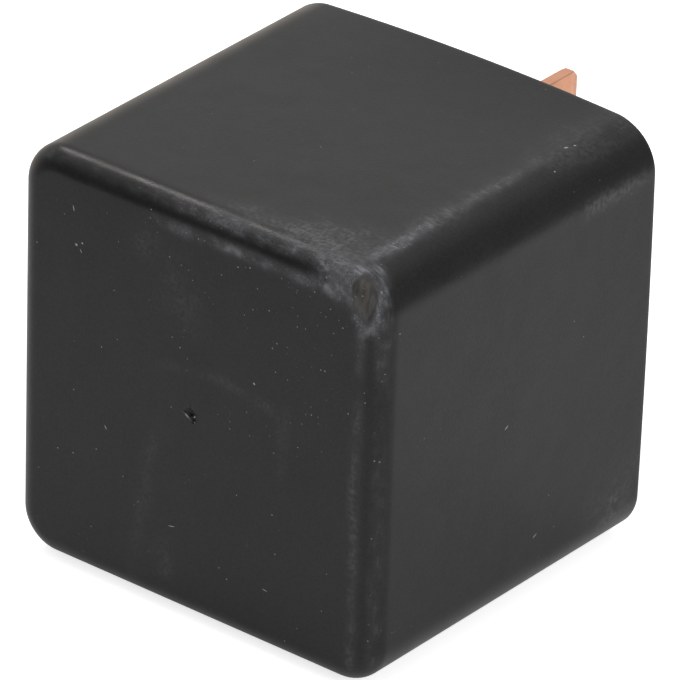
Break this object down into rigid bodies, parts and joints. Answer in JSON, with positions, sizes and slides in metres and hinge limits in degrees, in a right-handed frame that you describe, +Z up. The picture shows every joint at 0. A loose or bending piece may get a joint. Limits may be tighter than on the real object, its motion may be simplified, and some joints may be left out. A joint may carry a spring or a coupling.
{
  "type": "automotive relay",
  "caption": "Small square plug-in relay: black moulded cover with rounded edges, copper blade terminals at its open end, coil and hinged armature inside.",
  "frame": {"origin": "centre of the plug face, the plane of the cover's open rim that faces the socket", "axes": "+Y the way the blades point, out of the plug face; +Z up with the relay lying on its side, towards the common blade; +X completes the frame"},
  "size_m": [0.028, 0.0365, 0.028],
  "materials": {
    "housing_plastic": "satin moulded black plastic with worn edges",
    "base_plastic": "moulded black plastic",
    "blade_copper": "bare stamped copper",
    "plated_steel": "zinc plated",
    "bobbin_plastic": "natural moulded",
    "enamelled_copper": "enamelled wire",
    "spring_bronze": "rolled spring strip",
    "contact_silver": "silver alloy",
    "solder": "bright solder"
  },
  "bodies": {
    "root": {"cover": "housing_plastic", "base": "base_plastic", "terminal_30": "blade_copper", "terminal_85": "blade_copper", "terminal_87": "blade_copper", "terminal_87a": "blade_copper", "yoke": "plated_steel", "core": "plated_steel", "bobbin": "bobbin_plastic", "coil_winding": "enamelled_copper", "coil_link": "blade_copper", "coil_lead_30": "enamelled_copper", "coil_lead_85": "enamelled_copper", "solder_joint_30": "solder", "solder_joint_85": "solder", "spring_rivet_left": "plated_steel", "spring_rivet_right": "plated_steel", "fixed_contact_87": "contact_silver", "fixed_contact_87a": "contact_silver"},
    "armature": {"armature": "plated_steel", "contact_spring": "spring_bronze", "armature_rivet_left": "plated_steel", "armature_rivet_right": "plated_steel", "moving_contact": "contact_silver"}
  },
  "joints": [
    {"name": "armature_hinge", "type": "hinge", "parent": "root", "child": "armature", "pos_m": [0, -0.01821, 0.0108], "axis": [1, 0, 0], "range_deg": [0, 3.2], "stiffness_Nm_per_rad": 0.05, "springref_deg": -5.73, "deforming": ["contact_spring"]}
  ]
}
